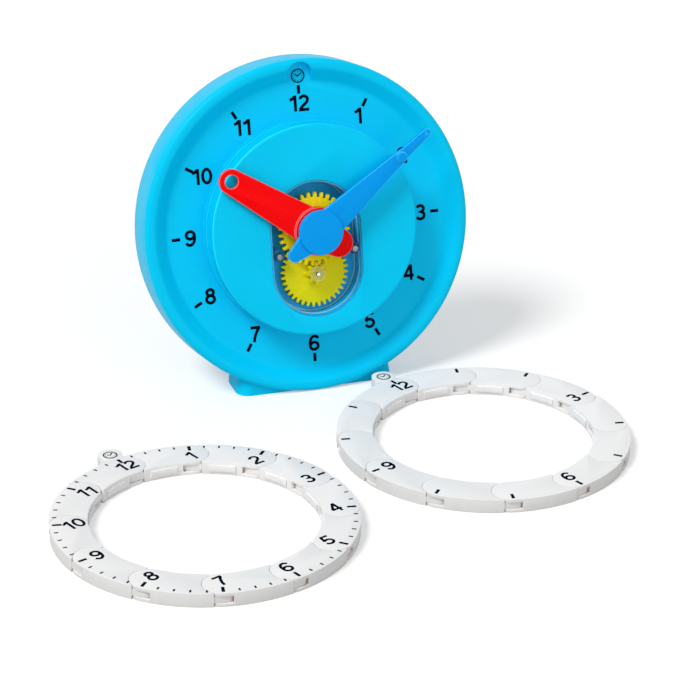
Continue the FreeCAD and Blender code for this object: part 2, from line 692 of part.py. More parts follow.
def screw_group(label, places, head_back, outward):
    """Identical screws as one node: a turned screw, copied to each place."""
    screw = new_body(label + "_master", dial=False)
    turned(screw, label + "_profile", screw_corners(head_back, outward))
    doc.recompute()
    copies = [screw.Shape.copy() for place in places]
    for copy, (x_value, y_value) in zip(copies, places):
        copy.translate(FreeCAD.Vector(x_value, y_value, 0))
    group = doc.addObject("Part::Feature", label)
    group.Label = label
    group.Shape = Part.makeCompound(copies)
    group.Placement = dial_placement()
    return group


def pin(label, radius, back, front, y_formula):
    """A steel pin along the dial's axis, pressed into the tray."""
    body = new_body(label)
    sketch = circle(new_sketch(body, label + "_section", lift=back), radius, "0", y_formula)
    pad(body, sketch, "%s - (%s)" % (front, back))
    return body


def involute(base, radius):
    """The angle of an involute's point at a radius, from where it leaves its base circle."""
    roll = math.sqrt(max(radius ** 2 / base ** 2 - 1, 0.0))
    return roll - math.atan(roll)


def gear_outline(teeth, module, shift):
    """Closed wire of an involute gear with a tooth on the +X axis, thinned for slack."""
    pressure = math.radians(PRESSURE_ANGLE)
    pitch = module * teeth / 2
    base = pitch * math.cos(pressure)
    root = pitch - module * (DEDENDUM - shift)
    tip = pitch + module * (1 + shift)
    half_pitch = math.pi / (2 * teeth) + 2 * shift * math.tan(pressure) / teeth
    half_pitch -= size("tooth_slack") / 2 / pitch
    start = max(base, root)
    flank = []
    for step in range(FLANK_STEPS + 1):
        radius = start + (tip - start) * step / FLANK_STEPS
        half = half_pitch + involute(base, pitch) - involute(base, radius)
        flank.append((radius, max(half, SHARPEST_TIP)))
    if root < base:
        flank.insert(0, (root, flank[0][1]))
    points = []
    for tooth in range(teeth):
        centre = 2 * math.pi * tooth / teeth
        rising = [(radius, centre - half) for radius, half in flank]
        falling = [(radius, centre + half) for radius, half in reversed(flank)]
        for radius, angle in rising + falling:
            points.append(FreeCAD.Vector(radius * math.cos(angle), radius * math.sin(angle), 0))
    return Part.makePolygon(points + [points[0]])


def gear(teeth, module, shift, turn, back, front, centre_y):
    """A toothed disc between two depths, with one tooth turned to an angle in degrees."""
    disc = Part.Face(gear_outline(teeth, module, shift)).extrude(FreeCAD.Vector(0, 0, front - back))
    disc.rotate(FreeCAD.Vector(0, 0, 0), FreeCAD.Vector(0, 0, 1), turn)
    disc.translate(FreeCAD.Vector(0, centre_y, back))
    return disc


def rod(radius, back, front, centre_y=0.0):
    """A cylinder along the dial's axis."""
    return Part.makeCylinder(radius, front - back, FreeCAD.Vector(0, centre_y, back))


def gear_module(one, two):
    """The module that brings two wheels' pitch circles together at the axles' distance."""
    return 2 * abs(size("idler_y")) / (size(one) + size(two))


def gear_feature(label, shape):
    """A gear piece as an object of the document, placed in the dial frame."""
    feature = doc.addObject("Part::Feature", label)
    feature.Label = label
    feature.Shape = shape.removeSplitter()
    feature.Placement = dial_placement()
    return feature


def minute_arbor():
    """Minute pinion with the hollow arbor that carries the minute hand."""
    teeth = int(size("minute_pinion_teeth"))
    module = gear_module("minute_pinion_teeth", "idler_wheel_teeth")
    back = value(GEARS_BACK)
    front = value(MINUTE_FRONT)
    shape = gear(teeth, module, size("minute_shift"), -90, back, value(MINUTE_PINION_FRONT), 0)
    shape = shape.fuse(rod(size("arbor_radius"), back, front))
    bore = rod(size("axle_radius") + size("pivot_play"), back, value(AXLE_FRONT) + size("thrust_gap"))
    screw_hole = rod(size("hand_screw_radius"), front - size("hand_screw_length"), front)
    return gear_feature("minute_arbor", shape.cut(bore).cut(screw_hole))


def idler_gear():
    """Wheel and pinion in one moulding, turning together on the lower axle."""
    wheel_teeth = int(size("idler_wheel_teeth"))
    pinion_teeth = int(size("idler_pinion_teeth"))
    low = size("idler_y")
    back = value(GEARS_BACK)
    wheel_back = value(IDLER_WHEEL_BACK)
    wheel_front = value(IDLER_WHEEL_FRONT)
    pinion_front = value(IDLER_PINION_FRONT)
    nose_front = value(IDLER_NOSE_FRONT)
    wheel = gear(wheel_teeth, gear_module("minute_pinion_teeth", "idler_wheel_teeth"),
                 -size("minute_shift"), 90 + 180 / wheel_teeth, wheel_back, wheel_front, low)
    pinion = gear(pinion_teeth, gear_module("idler_pinion_teeth", "hour_wheel_teeth"),
                  size("hour_shift"), 90, wheel_front, pinion_front, low)
    hub = rod(size("floor_boss_radius"), back, wheel_back, low)
    nose = rod(size("idler_nose_radius"), pinion_front, nose_front, low)
    bore = rod(size("idler_axle_radius") + size("pivot_play"), back, nose_front, low)
    return gear_feature("idler_gear", wheel.multiFuse([pinion, hub, nose]).cut(bore))


def hour_wheel():
    """Hour wheel with the tube that carries the hour hand out through the window."""
    teeth = int(size("hour_wheel_teeth"))
    back = value(MINUTE_PINION_FRONT) + size("thrust_gap")
    front = value(HOUR_HUB_FRONT)
    wheel = gear(teeth, gear_module("idler_pinion_teeth", "hour_wheel_teeth"), -size("hour_shift"),
                 -90 + 180 / teeth, value(HOUR_WHEEL_BACK), value(HOUR_WHEEL_FRONT), 0)
    collar = rod(size("hour_collar_radius"), back, value(PLATE_BACK) - size("thrust_gap"))
    tube = rod(size("tube_radius"), back, front)
    bore = rod(size("arbor_radius") + size("pivot_play"), back, front)
    return gear_feature("hour_wheel", wheel.multiFuse([collar, tube]).cut(bore))


def arm(body, name, back, thick, stations):
    """A flat tapering arm along X through stations given as (x, half width) formulas."""
    upper = [(place, half) for place, half in stations]
    lower = [(place, "-(%s)" % half) for place, half in reversed(stations)]
    pad(body, polygon(new_sketch(body, name, lift=back), upper + lower), thick)


def hour_hand():
    """Red hand with a finger hole near its tip and a raised hub on the hour tube."""
    body = new_body("hour_hand", turn="hour_hand_angle")
    arm(body, "hour_arm", HOUR_HAND_BACK, "dims.hour_hand_thick", [
        ("-dims.hour_tail_centre", "dims.hour_tail_radius"),
        ("0", "dims.hour_root_half"),
        (HOUR_TIP_CENTRE, "dims.hour_tip_radius"),
    ])
    for name, centre, radius in (("hour_tip", HOUR_TIP_CENTRE, "dims.hour_tip_radius"),
                                 ("hour_tail", "-dims.hour_tail_centre", "dims.hour_tail_radius")):
        end = circle(new_sketch(body, name, lift=HOUR_HAND_BACK), radius, centre, "0")
        pad(body, end, "dims.hour_hand_thick")
    hub = circle(new_sketch(body, "hour_hub", lift=HOUR_HAND_BACK), "dims.hour_hub_radius")
    pad(body, hub, "dims.hour_hub_height")
    boss = circle(new_sketch(body, "hour_boss", lift=HOUR_HAND_BACK), "dims.hour_boss_radius")
    pad(body, boss, "dims.hour_boss_height", down=True)
    bore = circle(new_sketch(body, "hour_bore", lift=HOUR_BOSS_BACK), "dims.tube_radius")
    pocket(body, bore, "dims.hour_boss_height + dims.hour_hub_height", up=True)
    hole = circle(new_sketch(body, "finger_hole", lift=HOUR_HAND_BACK),
                  "dims.hour_hole_radius", HOUR_TIP_CENTRE, "0")
    pocket(body, hole, "dims.hour_hand_thick", up=True)
    return body


def minute_hand():
    """Blue hand with a finger peg, a narrow holed tip and a round hub on the arbor."""
    body = new_body("minute_hand", turn="minute_hand_angle")
    arm(body, "minute_arm", MINUTE_BACK, "dims.minute_hand_thick", [
        ("-dims.minute_tail_centre", "dims.minute_tail_radius"),
        ("0", "dims.minute_root_half"),
        (MINUTE_PEG_CENTRE, "dims.minute_peg_half"),
        (MINUTE_PEG_CENTRE + " + dims.minute_peg_half", "dims.minute_neck_half"),
        (MINUTE_TIP_CENTRE, "dims.minute_tip_radius"),
    ])
    for name, centre, radius in (
            ("minute_tip", MINUTE_TIP_CENTRE, "dims.minute_tip_radius"),
            ("minute_tail", "-dims.minute_tail_centre", "dims.minute_tail_radius"),
            ("minute_hub", "0", "dims.minute_hub_radius")):
        end = circle(new_sketch(body, name, lift=MINUTE_BACK), radius, centre, "0")
        pad(body, end, "dims.minute_hand_thick")
    peg = circle(new_sketch(body, "minute_peg", lift=MINUTE_BACK), "dims.minute_peg_radius",
                 MINUTE_PEG_CENTRE, "0")
    pad(body, peg, "dims.minute_hand_thick + dims.minute_peg_height")
    bore = circle(new_sketch(body, "minute_bore", lift=MINUTE_BACK), "dims.arbor_radius")
    pocket(body, bore, "dims.minute_hand_thick", up=True)
    hole = circle(new_sketch(body, "tip_hole", lift=MINUTE_BACK), "dims.minute_hole_radius",
                  MINUTE_TIP_CENTRE, "0")
    pocket(body, hole, "dims.minute_hand_thick", up=True)
    return body


def hub_cap():
    """Round cap over the minute hand's screw."""
    body = new_body("hub_cap")
    disc = circle(new_sketch(body, "cap_disc", lift=MINUTE_FRONT), "dims.cap_radius")
    pad(body, disc, "dims.cap_thick")
    front = value(MINUTE_FRONT) + size("cap_thick")
    round_edges(body, "cap_edge", "dims.cap_edge_round", at_radius(size("cap_radius"), front))
    room = circle(new_sketch(body, "screw_room", lift=MINUTE_FRONT),
                  "dims.hand_screw_head + dims.thrust_gap")
    pocket(body, room, "dims.hand_screw_thick + dims.thrust_gap", up=True)
    return body


def hand_screw():
    """Wide-headed screw that holds the minute hand on its arbor."""
    body = new_body("hand_screw")
    turned(body, "hand_screw_profile", [
        ("0", MINUTE_FRONT + " + dims.hand_screw_thick"),
        ("dims.hand_screw_head", MINUTE_FRONT + " + dims.hand_screw_thick"),
        ("dims.hand_screw_head", MINUTE_FRONT),
        ("dims.hand_screw_radius", MINUTE_FRONT),
        ("dims.hand_screw_radius", MINUTE_FRONT + " - dims.hand_screw_length"),
        ("0", MINUTE_FRONT + " - dims.hand_screw_length"),
    ])
    return body


def prism(points, bottom, top):
    """A straight-sided solid on a closed plan, between two heights."""
    corners = [FreeCAD.Vector(x_value, y_value, bottom) for x_value, y_value in points]
    return Part.Face(Part.makePolygon(corners + [corners[0]])).extrude(FreeCAD.Vector(0, 0, top - bottom))


def ring_segment(has_tab, is_first):
    """One hinged segment from twelve to one o'clock, lying flat with its ring's centre at 0.

    Its start has a tongue with a round eye, and its end a pair of leaves with a pin between.
    """
    outer = value(RING_OUTER)
    inner = value(RING_INNER)
    thick = size("ring_thick")
    middle = (outer + inner) / 2
    half_band = size("ring_band") / 2
    step = math.radians(30)
    leaf = size("hinge_leaf")
    reach = 2 * half_band

    def column(radius, bottom, top, place):
        """A cylinder standing at a place in plan."""
        return Part.makeCylinder(radius, top - bottom, FreeCAD.Vector(place[0], place[1], bottom))

    def local_plan(place, turn, points):
        """Points given as (forward, outward) at a pivot, in plan; clockwise is forward."""
        forward = (math.cos(turn), -math.sin(turn))
        outward = (math.sin(turn), math.cos(turn))
        return [(place[0] + along * forward[0] + out * outward[0],
                 place[1] + along * forward[1] + out * outward[1]) for along, out in points]

    start_pivot = (0.0, middle)
    end_pivot = (middle * math.sin(step), middle * math.cos(step))
    band = Part.makeCylinder(outer, thick).cut(Part.makeCylinder(inner, thick))
    wedge_reach = 2 * outer
    wedge = prism([(0, 0), (0, wedge_reach),
                   (wedge_reach * math.sin(step), wedge_reach * math.cos(step))], 0, thick)
    body = band.common(wedge).fuse(column(half_band, 0, thick, end_pivot))
    behind_start = prism(local_plan(start_pivot, 0, [
        (-reach, -reach), (size("horn_start"), -reach), (size("horn_start"), reach), (-reach, reach)]),
        0, thick)
    body = body.cut(column(half_band + size("joint_gap"), 0, thick, start_pivot)).cut(behind_start)
    slot_plan = local_plan(end_pivot, step, [
        (-size("slot_back"), -reach), (reach, -reach), (reach, reach), (-size("slot_back"), reach)])
    slot = prism(slot_plan, leaf, thick - leaf)
    slot = slot.fuse(column(size("eye_radius") + 2 * size("hinge_play"), leaf, thick - leaf, end_pivot))
    pivot_pin = column(size("hinge_pin_radius"), leaf, thick - leaf, end_pivot)
    body = body.cut(slot).fuse(pivot_pin)
    low = leaf + size("hinge_play")
    high = thick - leaf - size("hinge_play")
    tongue_end = half_band + size("joint_gap") + size("hinge_play") + size("tongue_root")
    neck = prism(local_plan(start_pivot, 0, [
        (0, -size("tongue_half")), (tongue_end, -size("tongue_half")),
        (tongue_end, size("tongue_half")), (0, size("tongue_half"))]), low, high)
    tongue = neck.fuse(column(size("eye_radius"), low, high, start_pivot))
    pin_hole = size("hinge_pin_radius") + (size("hinge_play") if is_first else size("pivot_play"))
    eye = column(pin_hole, low, high, start_pivot)
    if is_first:
        mouth_end = size("eye_radius") + size("merge_depth")
        mouth_half = pin_hole + size("mouth_flare")
        mouth = prism(local_plan(start_pivot, 0, [
            (-mouth_end, -mouth_half), (0, -pin_hole), (0, pin_hole), (-mouth_end, mouth_half)]), low, high)
        eye = eye.fuse(mouth)
    body = body.fuse(tongue.cut(eye))
    clip_half = math.radians(size("clip_angle")) / 2
    clip_low = (thick - size("clip_height")) / 2
    clip_high = (thick + size("clip_height")) / 2
    clip_band = Part.makeCylinder(inner + size("merge_depth"), thick)
    clip_band = clip_band.cut(Part.makeCylinder(inner - size("clip_proud"), thick))
    clip_from = step / 2 - clip_half
    clip_to = step / 2 + clip_half
    clip_wedge = prism([(0, 0), (outer * math.sin(clip_from), outer * math.cos(clip_from)),
                        (outer * math.sin(clip_to), outer * math.cos(clip_to))], clip_low, clip_high)
    body = body.fuse(clip_band.common(clip_wedge))
    if has_tab:
        tab_centre = value(NOTCH_CENTRE) - middle
        place = local_plan(end_pivot, step, [(0, tab_centre)])[0]
        tab_neck = prism(local_plan(end_pivot, step, [
            (-size("tab_neck_half"), half_band - size("merge_depth")),
            (size("tab_neck_half"), half_band - size("merge_depth")),
            (size("tab_neck_half"), tab_centre), (-size("tab_neck_half"), tab_centre)]), 0, thick)
        tab = tab_neck.fuse(column(size("tab_radius"), 0, thick, place))
        body = body.fuse(tab.cut(column(half_band, leaf, thick - leaf, end_pivot)))
    return body.removeSplitter()


def dial_ring(name, segments, centre_x, centre_y):
    """Twelve segments of one dial ring, lying on the table with twelve towards the clock."""
    features = []
    for number in range(1, 13):
        feature = doc.addObject("Part::Feature", "%s_%02d" % (name, number))
        feature.Label = feature.Name
        feature.Shape = segments.get(number, segments["plain"])
        turn = size("ring_turn") - 30 * (number - 1)
        feature.Placement = FreeCAD.Placement(
            FreeCAD.Vector(value(centre_x), value(centre_y), 0),
            FreeCAD.Rotation(FreeCAD.Vector(0, 0, 1), turn))
        features.append(feature)
    return features


def all_pieces():
    """Every separate piece of the object, in the order in which it would be assembled."""
    tray_places = [(x_sign * value(TRAY_EAR_X), value(y_formula))
                   for x_sign in (-1, 1) for y_formula in ear_rows().values()]
    window_places = [(x_sign * value(WINDOW_SCREW_X), value(WINDOW_SCREW_Y)) for x_sign in (-1, 1)]
    case_places = [tuple(value(formula) for formula in case_post_place(index))
                   for index in range(int(size("case_post_count")))]
    pieces = [
        front_case(),
        rear_cover(),
        gear_tray(),
        gear_window(),
        screw_group("window_screws", window_places, WINDOW_FRONT, True),
        screw_group("tray_screws", tray_places, TRAY_EAR_BACK, False),
        screw_group("case_screws", case_places, CASE_BACK, False),
        pin("centre_axle", "dims.axle_radius", "dims.tray_floor_back", AXLE_FRONT, "0"),
        pin("idler_axle", "dims.idler_axle_radius", "dims.tray_floor_back", WINDOW_FRONT, "dims.idler_y"),
        idler_gear(),
        minute_arbor(),
        hour_wheel(),
        hour_hand(),
        minute_hand(),
        hand_screw(),
        hub_cap(),
    ]
    segments = {"plain": ring_segment(False, False),
                1: ring_segment(False, True),
                12: ring_segment(True, False)}
    near_clock = "dims.face_line_y - " + RING_OUTER
    pieces += dial_ring("minute_ring", segments, "-%s - dims.minute_ring_side" % RING_OUTER,
                        near_clock + " - dims.minute_ring_ahead")
    pieces += dial_ring("hour_ring", segments, RING_OUTER + " - dims.hour_ring_side",
                        near_clock + " - dims.hour_ring_ahead")
    return pieces


def check_and_export(pieces):
    """Refuse a failed or empty object, then write each piece to its own file."""
    doc.recompute()
    for thing in doc.Objects:
        if "Invalid" in thing.State or "Error" in thing.State:
            raise RuntimeError("%s failed: %s" % (thing.Label, thing.State))
    os.makedirs("parts", exist_ok=True)
    for piece in pieces:
        if piece.Shape.isNull() or not piece.Shape.isValid():
            raise RuntimeError("%s has no valid shape" % piece.Label)
        piece.Shape.exportStep("parts/%s.step" % piece.Label)
        print("%-18s solids %d volume %.1f" % (
            piece.Label, len(piece.Shape.Solids), piece.Shape.Volume))


check_and_export(all_pieces())
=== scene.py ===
"""Looks of the geared teaching clock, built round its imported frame. Lengths are in metres."""
import json
import math

import bmesh
import bpy
from mathutils import Matrix, Vector


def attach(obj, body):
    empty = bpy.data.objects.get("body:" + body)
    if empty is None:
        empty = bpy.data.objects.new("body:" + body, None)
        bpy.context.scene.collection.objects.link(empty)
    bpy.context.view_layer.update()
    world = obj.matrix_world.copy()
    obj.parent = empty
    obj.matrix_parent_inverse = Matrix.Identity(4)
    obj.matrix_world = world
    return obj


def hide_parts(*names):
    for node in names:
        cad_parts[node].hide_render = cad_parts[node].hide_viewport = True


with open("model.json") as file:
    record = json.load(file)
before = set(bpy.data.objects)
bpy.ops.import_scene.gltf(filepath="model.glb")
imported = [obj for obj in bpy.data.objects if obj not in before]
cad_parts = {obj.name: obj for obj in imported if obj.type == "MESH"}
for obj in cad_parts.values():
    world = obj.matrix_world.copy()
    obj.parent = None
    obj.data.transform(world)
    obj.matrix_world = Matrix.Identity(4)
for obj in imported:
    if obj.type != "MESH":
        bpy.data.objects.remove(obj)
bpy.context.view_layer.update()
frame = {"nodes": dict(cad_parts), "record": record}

scene = bpy.context.scene
nodes = frame["nodes"]
BODY_OF = {node: body for body, members in frame["record"]["behaviour"]["bodies"].items()
           for node in members}

MM = 0.001

# Scales of the moulded surfaces: colour patches, rubbed patches, grain, and the depth of the painted shade
# in crevices.
PATCH_SCALE = 16.0
RUB_SCALE = 55.0
RUB_DETAIL = 4.0
RUB_SPREAD = 0.15
GRAIN_SCALE = 1400.0
GRAIN_DEPTH = 0.1 * MM
CREVICE_DEPTH = 4 * MM
CREVICE_SAMPLES = 6
CREVICE_STOPS = ((0.12, 0.0), (0.5, 1.0))

# The dial's plane: where the hands' axis meets the recess floor, and how far the case leans back.
LEAN = math.radians(13.25)
DIAL_CENTRE = Vector((0.0, -10.254 * MM, 147.564 * MM))
DIAL_RIGHT = Vector((1.0, 0.0, 0.0))
DIAL_UP = Vector((0.0, math.sin(LEAN), math.cos(LEAN)))
DIAL_OUT = Vector((0.0, -math.cos(LEAN), math.sin(LEAN)))

# The two rings on the table: their centres, top, and the direction of twelve o'clock.
RING_CENTRES = {"minute_ring": (-171.3, -274.6), "hour_ring": (106.6, -194.6)}
RING_TOP = 12.4
RING_TWELVE = math.radians(110.75)

# Prints on the dial and the rings, in millimetres.
INK_PROUD = 0.08
DIGIT_HEIGHT = 14.5
DIGIT_STRETCH = 1.1
DIAL_NUMBER_RADIUS = 109.5
DIAL_TWELVE_RADIUS = 111.7
DIAL_TICK_RADIUS = 123.0
DIAL_TWELVE_TICK_RADIUS = 124.2
DIAL_TICK = (7.8, 2.9)
RING_NUMBER_RADIUS = 109.1
RING_TWELVE_RADIUS = 113.2
RING_TICK_END = 127.3
RING_TICK = (7.8, 2.8)
RING_SMALL_TICK = (3.6, 1.6)
SIGN_RADIUS = 5.9
# Lines of the clock sign: its circle, its two hands from tip to tip, and its dots.
SIGN_CIRCLE = 1.15
SIGN_HAND = 1.1
SIGN_HANDS = ((-0.45, 0.28), (0.0, -0.05), (0.58, 0.42))
SIGN_DOT = 0.8
SIGN_DOT_RADIUS = 0.74
DIAL_SIGN_PLACE = 136.5
RING_SIGN_PLACE = 138.2

# The inside of the gear tray, in the dial frame and in millimetres.
TRAY_HALF = 41.5
TRAY_TOP = 2.5
TRAY_BOTTOM = -36.5
TRAY_FLOOR_FRONT = 8.0
PLATE_BACK = 23.7
# Places of the tray's two beads, pale lines of painted highlight: inset, height and radius.
TRAY_BEADS = {"tray_floor_bead": (1.0, TRAY_FLOOR_FRONT + 0.6, 0.8),
              "tray_lip_bead": (0.3, PLATE_BACK - 2.5, 0.4)}

# The clear bearing and the screws' bosses, seen through the window, in millimetres.
BEARING_RINGS = ((2.8, 0.35), (4.6, 0.25), (6.5, 0.35))
BOSS_RADIUS = 4.0
BOSS_THICK = 1.3
SCREW_HEAD = 2.7
WINDOW_PLATE = 2.0
PANE_FACING = 0.9

# Strokes, widths and gaps of the digits, as shares of their height.
DIAL_STROKE = 0.19
RING_STROKE = 0.175
DIGIT_WIDTH = 0.62
ONE_WIDTH = 0.42
DIGIT_GAP = 0.12

# The floor and the light: whites, the floor's glow, and the world as it lights the object.
FLOOR_PALE = 0.88
FLOOR_BOUNCE = 0.65
FLOOR_GLOW = 1.5
FLOOR_GLOW_SHARE = 0.25
WORLD_LIGHT = 0.42
FLOOR_SIZE = 8

# The camera, fitted to the photograph.
CAMERA_PLACE = Vector((-0.7422, -2.3175, 1.1669))
CAMERA_YAW = math.radians(-18.76)
CAMERA_PITCH = math.radians(25.23)
CAMERA_ROLL = math.radians(-0.95)
CAMERA_LENS = 149.6
SENSOR_WIDTH = 36
VIEW_DEPTH = 20

# The two lamps: the direction they stand in, their softness in degrees and their strength.
KEY_SUN = ((-1.7, -0.75, 2.4), 20, 2.1)
FILL_SUN = ((0.5, -2.0, 0.8), 50, 0.55)


def arc(x, y, across, tall, start, end, steps=16):
    """Points of an ellipse's arc between two angles in degrees, anticlockwise from the right."""
    turns = [math.radians(start + (end - start) * step / steps) for step in range(steps + 1)]
    return [(x + across * math.cos(turn), y + tall * math.sin(turn)) for turn in turns]


def linear(colour):
    """A colour written as it looks on screen, in the renderer's linear values."""
    return [v / 12.92 if v <= 0.04045 else ((v + 0.055) / 1.055) ** 2.4 for v in colour]


def noise(tree, place, scale, detail=2.0):
    """A noise texture in the object's own space."""
    made = tree.nodes.new("ShaderNodeTexNoise")
    made.inputs["Scale"].default_value = scale
    made.inputs["Detail"].default_value = detail
    tree.links.new(place.outputs["Object"], made.inputs["Vector"])
    return made


def blend_colour(tree, fac, low, high):
    """A mix of two colours, or of two sockets, by a socket or a number."""
    made = tree.nodes.new("ShaderNodeMixRGB")
    for socket, given in (("Color1", low), ("Color2", high)):
        if hasattr(given, "node"):
            tree.links.new(given, made.inputs[socket])
        else:
            made.inputs[socket].default_value = (*given, 1)
    tree.links.new(fac, made.inputs["Fac"])
    return made.outputs["Color"]


def ramp(tree, fac, stops):
    """A ramp from a value to a grey level, through stops given as (place, level)."""
    made = tree.nodes.new("ShaderNodeValToRGB")
    elements = made.color_ramp.elements
    for element, (place, level) in zip(elements, stops):
        element.position = place
        element.color = (level, level, level, 1)
    tree.links.new(fac, made.inputs["Fac"])
    return made.outputs["Color"]


def plastic(name, colour, roughness, specular, alpha=1.0, metallic=0.0, mottle=0.03, grain=0.03,
            crevice_shade=None):
    """A moulded or plated surface: faint flow marks in its colour, a fine grain, rubbed patches and, if
    given, a tan painted shade in crevices.
    """
    made = bpy.data.materials.new(name)
    made.use_nodes = True
    tree = made.node_tree
    shader = tree.nodes["Principled BSDF"]
    shader.inputs["Metallic"].default_value = metallic
    shader.inputs["Alpha"].default_value = alpha
    shader.inputs["Specular IOR Level"].default_value = specular
    place = tree.nodes.new("ShaderNodeTexCoord")
    patches = noise(tree, place, PATCH_SCALE)
    base = linear(colour)
    duller = [v * (1 - mottle) for v in base]
    fresher = [min(v * (1 + mottle), 1) for v in base]
    shade = blend_colour(tree, patches.outputs["Fac"], duller, fresher)
    # Painted shade: an occlusion mask mixes the crevices towards a tan colour.
    if crevice_shade is not None:
        hollow = tree.nodes.new("ShaderNodeAmbientOcclusion")
        hollow.inputs["Distance"].default_value = CREVICE_DEPTH
        hollow.samples = CREVICE_SAMPLES
        openness = ramp(tree, hollow.outputs["AO"], CREVICE_STOPS)
        shade = blend_colour(tree, openness, linear(crevice_shade), shade)
    tree.links.new(shade, shader.inputs["Base Color"])
    rubbed = noise(tree, place, RUB_SCALE, RUB_DETAIL)
    wear = tree.nodes.new("ShaderNodeMapRange")
    wear.inputs["To Min"].default_value = roughness * (1 - RUB_SPREAD)
    wear.inputs["To Max"].default_value = roughness * (1 + RUB_SPREAD)
    tree.links.new(rubbed.outputs["Fac"], wear.inputs["Value"])
    tree.links.new(wear.outputs["Result"], shader.inputs["Roughness"])
    fine = noise(tree, place, GRAIN_SCALE)
    bump = tree.nodes.new("ShaderNodeBump")
    bump.inputs["Strength"].default_value = grain
    bump.inputs["Distance"].default_value = GRAIN_DEPTH
    tree.links.new(fine.outputs["Fac"], bump.inputs["Height"])
    tree.links.new(bump.outputs["Normal"], shader.inputs["Normal"])
    return made


CASE = plastic("case_plastic", (0.0, 0.785, 0.955), 0.36, 0.05)
# Painted highlight: a lighter copy of the case blue for its rounded edges.
CASE_EDGE_HIGHLIGHT = plastic("case_edge_painted_highlight", (0.22, 0.94, 1.0), 0.25, 0.3)
TRAY = plastic("tray_plastic", (0.10, 0.72, 0.98), 0.4, 0.15)
# Painted highlight: a pale colour for the beads that draw light lines in the tray.
TRAY_BEAD_HIGHLIGHT = plastic("tray_bead_painted_highlight", (0.62, 0.82, 0.88), 0.2, 0.4)
GEAR = plastic("gear_plastic", (0.94, 0.9, 0.0), 0.42, 0.06)
# Painted light: a lighter copy of the gear yellow, against the shade the hands cast on the hour wheel.
HOUR_GEAR_LIT = plastic("hour_gear_painted_light", (1.0, 0.93, 0.0), 0.42, 0.06)
RED = plastic("hour_plastic", (0.98, 0.0, 0.02), 0.28, 0.05)
# Painted highlight: a lighter copy of the hour hand's red for its rounded edges.
RED_EDGE_HIGHLIGHT = plastic("hour_edge_painted_highlight", (1.0, 0.42, 0.42), 0.2, 0.4)
HAND_BLUE = plastic("minute_plastic", (0.0, 0.605, 0.93), 0.28, 0.05)
# Painted highlight: a lighter copy of the minute hand's blue for its rounded edges.
HAND_EDGE_HIGHLIGHT = plastic("minute_edge_painted_highlight", (0.15, 0.78, 1.0), 0.2, 0.4)
# The rings' crevices and hinge hollows get a tan painted shade.
WHITE = plastic("ring_plastic", (0.925, 0.922, 0.92), 0.42, 0.15, mottle=0.008,
                crevice_shade=(0.80, 0.66, 0.54))
# Painted shade: a greyer copy of the ring white for the rings' outer walls.
WHITE_WALL_SHADE = plastic("ring_wall_painted_shade", (0.86, 0.86, 0.855), 0.42, 0.12, mottle=0.008,
                     crevice_shade=(0.78, 0.60, 0.42))
# Painted highlight: a lighter copy of the ring white for the rings' rounded edges.
WHITE_EDGE_HIGHLIGHT = plastic("ring_edge_painted_highlight", (0.985, 0.985, 0.985), 0.35, 0.2, mottle=0.004)
STEEL = plastic("plated_steel", (0.78, 0.78, 0.8), 0.26, 0.5, metallic=1.0, grain=0.06)
PANE = plastic("window_pane", (0.2, 0.4, 0.5), 0.07, 0.12, alpha=0.02, grain=0.01)
# Painted highlight and refraction on the window's bevels: lighter and more opaque than the pane.
PANE_EDGE_GLINT = plastic("window_edge", (0.45, 0.82, 0.96), 0.12, 0.4, alpha=0.62, grain=0.01)
SCREW = plastic("dull_screw", (0.52, 0.52, 0.53), 0.38, 0.4, metallic=1.0, grain=0.06)
BEARING = plastic("clear_bearing", (1.0, 0.98, 0.80), 0.2, 0.3, alpha=0.6, grain=0.01)
BOSS = plastic("clear_boss", (0.12, 0.42, 0.55), 0.2, 0.3, alpha=0.45, grain=0.01)
INK = plastic("navy_ink", (0.0, 0.03, 0.1), 0.6, 0.02, mottle=0.12, grain=0.05)

FINISHES = {
    "front_case": CASE, "rear_cover": CASE, "gear_tray": TRAY, "window_screws": SCREW,
    "tray_screws": STEEL, "case_screws": STEEL, "hand_screw": STEEL, "centre_axle": STEEL,
    "idler_axle": STEEL, "idler_gear": GEAR, "minute_arbor": GEAR, "hour_wheel": HOUR_GEAR_LIT,
    "hour_hand": RED, "minute_hand": HAND_BLUE, "hub_cap": HAND_BLUE,
}
# The lighter material of the painted highlight on the rounded edges of a piece, for each finish.
EDGE_HIGHLIGHTS = {CASE: CASE_EDGE_HIGHLIGHT, RED: RED_EDGE_HIGHLIGHT, HAND_BLUE: HAND_EDGE_HIGHLIGHT, WHITE: WHITE_EDGE_HIGHLIGHT}

# How far the sharp edges of each piece are rounded, in millimetres.
EDGE_ROUNDS = {
    "front_case": 0.6, "rear_cover": 0.8, "gear_tray": 0.5, "window_screws": 0.35, "idler_gear": 0.25,
    "hour_wheel": 0.25, "hour_hand": 0.8, "minute_hand": 0.4, "hub_cap": 0.6, "case_screws": 0.4,
}
RING_EDGE_ROUND = 0.8
# Bands of radius and height where the raised disc's rounded edge and its collar get a painted highlight.
DISC_HIGHLIGHT_BANDS = (((94.2, 96.3), (24.4, 27.0)), ((95.9, 97.3), (9.6, 10.6)), ((96.0, 97.3), (8.0, 9.1)))
# Edges sharper than SHARP_ANGLE are rounded, and faces nearer than FLAT_ANGLE to flat are joined.
SHARP_ANGLE = math.radians(38)
FLAT_ANGLE = math.radians(0.6)
EDGE_SEGMENTS = 3
SEAM_GAP = 0.004 * MM
# A ring face whose normal rises less than this is one of its walls, which get painted shade.
WALL_RISE = 0.5


def finish_piece(made, node):
    """Let a piece stand for a CAD node, on its body."""
    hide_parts(node)
    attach(made, BODY_OF[node])


